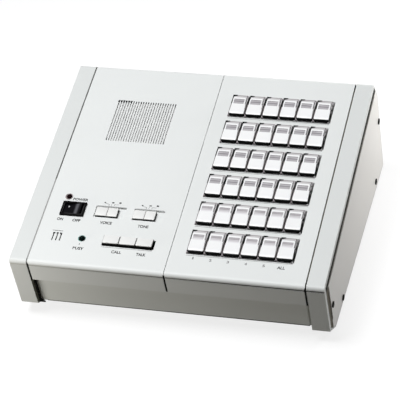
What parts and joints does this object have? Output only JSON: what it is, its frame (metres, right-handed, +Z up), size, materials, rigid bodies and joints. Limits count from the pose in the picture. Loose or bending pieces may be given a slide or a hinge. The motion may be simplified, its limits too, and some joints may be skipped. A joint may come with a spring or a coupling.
{
  "type": "desk intercom",
  "caption": "Desk intercom with a sloping top: a grid of labelled station keys, call and talk keys, slide controls, a power rocker, lamps, a speaker grille and end cheeks.",
  "frame": {"origin": "on the desk plane under the centre of the overall box: middle of the width and of the depth, at the underside of the feet", "axes": "+X to the user's right along the width, +Y away from the user to the rear, +Z up from the desk"},
  "size_m": [0.2724, 0.2431, 0.1053],
  "materials": {
    "panel_paint": "satin light grey paint",
    "cheek_paint": "satin light grey paint",
    "plate_paint": "matt light grey paint",
    "tray_paint": "satin warm grey paint",
    "screw_steel": "plain zinc-plated steel",
    "foot_rubber": "matt black rubber",
    "speaker_black": "black",
    "switch_black": "matt black moulding",
    "rocker_black": "glossy black moulding",
    "lamp_red": "dark red tinted dome, unlit",
    "lamp_green": "dark green tinted dome, unlit",
    "board_green": "green resin laminate",
    "core_steel": "varnished laminations",
    "terminal_black": "matt black moulding",
    "key_ivory": "satin white moulding"
  },
  "bodies": {
    "case": {"base_tray": "tray_paint", "left_panel": "panel_paint", "right_panel": "panel_paint", "left_cheek": "cheek_paint", "right_cheek": "cheek_paint", "left_side_plate": "plate_paint", "right_side_plate": "plate_paint", "side_screws": "screw_steel", "rubber_feet": "foot_rubber", "speaker": "speaker_black", "power_switch_housing": "switch_black", "power_lamp": "lamp_red", "busy_lamp": "lamp_green", "station_board": "board_green", "station_switches": "switch_black", "control_board": "board_green", "transformer": "core_steel", "rear_terminals": "terminal_black"},
    "power_rocker": {"power_rocker": "rocker_black"},
    "voice_slide_knob": {"voice_slide_knob": "key_ivory"},
    "tone_slide_knob": {"tone_slide_knob": "key_ivory"},
    "call_key_left": {"call_key_left": "key_ivory"},
    "call_key_right": {"call_key_right": "key_ivory"},
    "talk_key": {"talk_key": "key_ivory"},
    "station_key_r1_c1": {"station_key_r1_c1": "key_ivory"},
    "station_key_r1_c2": {"station_key_r1_c2": "key_ivory"},
    "station_key_r1_c3": {"station_key_r1_c3": "key_ivory"},
    "station_key_r1_c4": {"station_key_r1_c4": "key_ivory"},
    "station_key_r1_c5": {"station_key_r1_c5": "key_ivory"},
    "station_key_r1_c6": {"station_key_r1_c6": "key_ivory"},
    "station_key_r2_c1": {"station_key_r2_c1": "key_ivory"},
    "station_key_r2_c2": {"station_key_r2_c2": "key_ivory"},
    "station_key_r2_c3": {"station_key_r2_c3": "key_ivory"},
    "station_key_r2_c4": {"station_key_r2_c4": "key_ivory"},
    "station_key_r2_c5": {"station_key_r2_c5": "key_ivory"},
    "station_key_r2_c6": {"station_key_r2_c6": "key_ivory"},
    "station_key_r3_c1": {"station_key_r3_c1": "key_ivory"},
    "station_key_r3_c2": {"station_key_r3_c2": "key_ivory"},
    "station_key_r3_c3": {"station_key_r3_c3": "key_ivory"},
    "station_key_r3_c4": {"station_key_r3_c4": "key_ivory"},
    "station_key_r3_c5": {"station_key_r3_c5": "key_ivory"},
    "station_key_r3_c6": {"station_key_r3_c6": "key_ivory"},
    "station_key_r4_c1": {"station_key_r4_c1": "key_ivory"},
    "station_key_r4_c2": {"station_key_r4_c2": "key_ivory"},
    "station_key_r4_c3": {"station_key_r4_c3": "key_ivory"},
    "station_key_r4_c4": {"station_key_r4_c4": "key_ivory"},
    "station_key_r4_c5": {"station_key_r4_c5": "key_ivory"},
    "station_key_r4_c6": {"station_key_r4_c6": "key_ivory"},
    "station_key_r5_c1": {"station_key_r5_c1": "key_ivory"},
    "station_key_r5_c2": {"station_key_r5_c2": "key_ivory"},
    "station_key_r5_c3": {"station_key_r5_c3": "key_ivory"},
    "station_key_r5_c4": {"station_key_r5_c4": "key_ivory"},
    "station_key_r5_c5": {"station_key_r5_c5": "key_ivory"},
    "station_key_r5_c6": {"station_key_r5_c6": "key_ivory"},
    "station_key_r6_c1": {"station_key_r6_c1": "key_ivory"},
    "station_key_r6_c2": {"station_key_r6_c2": "key_ivory"},
    "station_key_r6_c3": {"station_key_r6_c3": "key_ivory"},
    "station_key_r6_c4": {"station_key_r6_c4": "key_ivory"},
    "station_key_r6_c5": {"station_key_r6_c5": "key_ivory"},
    "station_key_r6_c6": {"station_key_r6_c6": "key_ivory"}
  },
  "joints": [
    {"name": "call_key_left_press", "type": "slide", "parent": "case", "child": "call_key_left", "axis": [0, 0.165, -0.9863], "range_m": [0, 0.0025], "stiffness_N_per_m": 500, "springref_m": -0.0015},
    {"name": "call_key_right_press", "type": "slide", "parent": "case", "child": "call_key_right", "axis": [0, 0.165, -0.9863], "range_m": [0, 0.0025], "stiffness_N_per_m": 500, "springref_m": -0.0015},
    {"name": "talk_key_press", "type": "slide", "parent": "case", "child": "talk_key", "axis": [0, 0.165, -0.9863], "range_m": [0, 0.0025], "stiffness_N_per_m": 500, "springref_m": -0.0015},
    {"name": "station_key_r1_c1_press", "type": "slide", "parent": "case", "child": "station_key_r1_c1", "axis": [0, 0.165, -0.9863], "range_m": [0, 0.0025], "stiffness_N_per_m": 500, "springref_m": -0.0015},
    {"name": "station_key_r1_c2_press", "type": "slide", "parent": "case", "child": "station_key_r1_c2", "axis": [0, 0.165, -0.9863], "range_m": [0, 0.0025], "stiffness_N_per_m": 500, "springref_m": -0.0015},
    {"name": "station_key_r1_c3_press", "type": "slide", "parent": "case", "child": "station_key_r1_c3", "axis": [0, 0.165, -0.9863], "range_m": [0, 0.0025], "stiffness_N_per_m": 500, "springref_m": -0.0015},
    {"name": "station_key_r1_c4_press", "type": "slide", "parent": "case", "child": "station_key_r1_c4", "axis": [0, 0.165, -0.9863], "range_m": [0, 0.0025], "stiffness_N_per_m": 500, "springref_m": -0.0015},
    {"name": "station_key_r1_c5_press", "type": "slide", "parent": "case", "child": "station_key_r1_c5", "axis": [0, 0.165, -0.9863], "range_m": [0, 0.0025], "stiffness_N_per_m": 500, "springref_m": -0.0015},
    {"name": "station_key_r1_c6_press", "type": "slide", "parent": "case", "child": "station_key_r1_c6", "axis": [0, 0.165, -0.9863], "range_m": [0, 0.0025], "stiffness_N_per_m": 500, "springref_m": -0.0015},
    {"name": "station_key_r2_c1_press", "type": "slide", "parent": "case", "child": "station_key_r2_c1", "axis": [0, 0.165, -0.9863], "range_m": [0, 0.0025], "stiffness_N_per_m": 500, "springref_m": -0.0015},
    {"name": "station_key_r2_c2_press", "type": "slide", "parent": "case", "child": "station_key_r2_c2", "axis": [0, 0.165, -0.9863], "range_m": [0, 0.0025], "stiffness_N_per_m": 500, "springref_m": -0.0015},
    {"name": "station_key_r2_c3_press", "type": "slide", "parent": "case", "child": "station_key_r2_c3", "axis": [0, 0.165, -0.9863], "range_m": [0, 0.0025], "stiffness_N_per_m": 500, "springref_m": -0.0015},
    {"name": "station_key_r2_c4_press", "type": "slide", "parent": "case", "child": "station_key_r2_c4", "axis": [0, 0.165, -0.9863], "range_m": [0, 0.0025], "stiffness_N_per_m": 500, "springref_m": -0.0015},
    {"name": "station_key_r2_c5_press", "type": "slide", "parent": "case", "child": "station_key_r2_c5", "axis": [0, 0.165, -0.9863], "range_m": [0, 0.0025], "stiffness_N_per_m": 500, "springref_m": -0.0015},
    {"name": "station_key_r2_c6_press", "type": "slide", "parent": "case", "child": "station_key_r2_c6", "axis": [0, 0.165, -0.9863], "range_m": [0, 0.0025], "stiffness_N_per_m": 500, "springref_m": -0.0015},
    {"name": "station_key_r3_c1_press", "type": "slide", "parent": "case", "child": "station_key_r3_c1", "axis": [0, 0.165, -0.9863], "range_m": [0, 0.0025], "stiffness_N_per_m": 500, "springref_m": -0.0015},
    {"name": "station_key_r3_c2_press", "type": "slide", "parent": "case", "child": "station_key_r3_c2", "axis": [0, 0.165, -0.9863], "range_m": [0, 0.0025], "stiffness_N_per_m": 500, "springref_m": -0.0015},
    {"name": "station_key_r3_c3_press", "type": "slide", "parent": "case", "child": "station_key_r3_c3", "axis": [0, 0.165, -0.9863], "range_m": [0, 0.0025], "stiffness_N_per_m": 500, "springref_m": -0.0015},
    {"name": "station_key_r3_c4_press", "type": "slide", "parent": "case", "child": "station_key_r3_c4", "axis": [0, 0.165, -0.9863], "range_m": [0, 0.0025], "stiffness_N_per_m": 500, "springref_m": -0.0015},
    {"name": "station_key_r3_c5_press", "type": "slide", "parent": "case", "child": "station_key_r3_c5", "axis": [0, 0.165, -0.9863], "range_m": [0, 0.0025], "stiffness_N_per_m": 500, "springref_m": -0.0015},
    {"name": "station_key_r3_c6_press", "type": "slide", "parent": "case", "child": "station_key_r3_c6", "axis": [0, 0.165, -0.9863], "range_m": [0, 0.0025], "stiffness_N_per_m": 500, "springref_m": -0.0015},
    {"name": "station_key_r4_c1_press", "type": "slide", "parent": "case", "child": "station_key_r4_c1", "axis": [0, 0.165, -0.9863], "range_m": [0, 0.0025], "stiffness_N_per_m": 500, "springref_m": -0.0015},
    {"name": "station_key_r4_c2_press", "type": "slide", "parent": "case", "child": "station_key_r4_c2", "axis": [0, 0.165, -0.9863], "range_m": [0, 0.0025], "stiffness_N_per_m": 500, "springref_m": -0.0015},
    {"name": "station_key_r4_c3_press", "type": "slide", "parent": "case", "child": "station_key_r4_c3", "axis": [0, 0.165, -0.9863], "range_m": [0, 0.0025], "stiffness_N_per_m": 500, "springref_m": -0.0015},
    {"name": "station_key_r4_c4_press", "type": "slide", "parent": "case", "child": "station_key_r4_c4", "axis": [0, 0.165, -0.9863], "range_m": [0, 0.0025], "stiffness_N_per_m": 500, "springref_m": -0.0015},
    {"name": "station_key_r4_c5_press", "type": "slide", "parent": "case", "child": "station_key_r4_c5", "axis": [0, 0.165, -0.9863], "range_m": [0, 0.0025], "stiffness_N_per_m": 500, "springref_m": -0.0015},
    {"name": "station_key_r4_c6_press", "type": "slide", "parent": "case", "child": "station_key_r4_c6", "axis": [0, 0.165, -0.9863], "range_m": [0, 0.0025], "stiffness_N_per_m": 500, "springref_m": -0.0015},
    {"name": "station_key_r5_c1_press", "type": "slide", "parent": "case", "child": "station_key_r5_c1", "axis": [0, 0.165, -0.9863], "range_m": [0, 0.0025], "stiffness_N_per_m": 500, "springref_m": -0.0015},
    {"name": "station_key_r5_c2_press", "type": "slide", "parent": "case", "child": "station_key_r5_c2", "axis": [0, 0.165, -0.9863], "range_m": [0, 0.0025], "stiffness_N_per_m": 500, "springref_m": -0.0015},
    {"name": "station_key_r5_c3_press", "type": "slide", "parent": "case", "child": "station_key_r5_c3", "axis": [0, 0.165, -0.9863], "range_m": [0, 0.0025], "stiffness_N_per_m": 500, "springref_m": -0.0015},
    {"name": "station_key_r5_c4_press", "type": "slide", "parent": "case", "child": "station_key_r5_c4", "axis": [0, 0.165, -0.9863], "range_m": [0, 0.0025], "stiffness_N_per_m": 500, "springref_m": -0.0015},
    {"name": "station_key_r5_c5_press", "type": "slide", "parent": "case", "child": "station_key_r5_c5", "axis": [0, 0.165, -0.9863], "range_m": [0, 0.0025], "stiffness_N_per_m": 500, "springref_m": -0.0015},
    {"name": "station_key_r5_c6_press", "type": "slide", "parent": "case", "child": "station_key_r5_c6", "axis": [0, 0.165, -0.9863], "range_m": [0, 0.0025], "stiffness_N_per_m": 500, "springref_m": -0.0015},
    {"name": "station_key_r6_c1_press", "type": "slide", "parent": "case", "child": "station_key_r6_c1", "axis": [0, 0.165, -0.9863], "range_m": [0, 0.0025], "stiffness_N_per_m": 500, "springref_m": -0.0015},
    {"name": "station_key_r6_c2_press", "type": "slide", "parent": "case", "child": "station_key_r6_c2", "axis": [0, 0.165, -0.9863], "range_m": [0, 0.0025], "stiffness_N_per_m": 500, "springref_m": -0.0015},
    {"name": "station_key_r6_c3_press", "type": "slide", "parent": "case", "child": "station_key_r6_c3", "axis": [0, 0.165, -0.9863], "range_m": [0, 0.0025], "stiffness_N_per_m": 500, "springref_m": -0.0015},
    {"name": "station_key_r6_c4_press", "type": "slide", "parent": "case", "child": "station_key_r6_c4", "axis": [0, 0.165, -0.9863], "range_m": [0, 0.0025], "stiffness_N_per_m": 500, "springref_m": -0.0015},
    {"name": "station_key_r6_c5_press", "type": "slide", "parent": "case", "child": "station_key_r6_c5", "axis": [0, 0.165, -0.9863], "range_m": [0, 0.0025], "stiffness_N_per_m": 500, "springref_m": -0.0015},
    {"name": "station_key_r6_c6_press", "type": "slide", "parent": "case", "child": "station_key_r6_c6", "axis": [0, 0.165, -0.9863], "range_m": [0, 0.0025], "stiffness_N_per_m": 500, "springref_m": -0.0015},
    {"name": "voice_slide_knob_slide", "type": "slide", "parent": "case", "child": "voice_slide_knob", "axis": [1, 0, 0], "range_m": [0, 0.005]},
    {"name": "tone_slide_knob_slide", "type": "slide", "parent": "case", "child": "tone_slide_knob", "axis": [1, 0, 0], "range_m": [0, 0.005]},
    {"name": "power_rocker_tilt", "type": "hinge", "parent": "case", "child": "power_rocker", "pos_m": [-0.0947, -0.06219, 0.07642], "axis": [0, 0.9863, 0.165], "range_deg": [0, 22]}
  ]
}
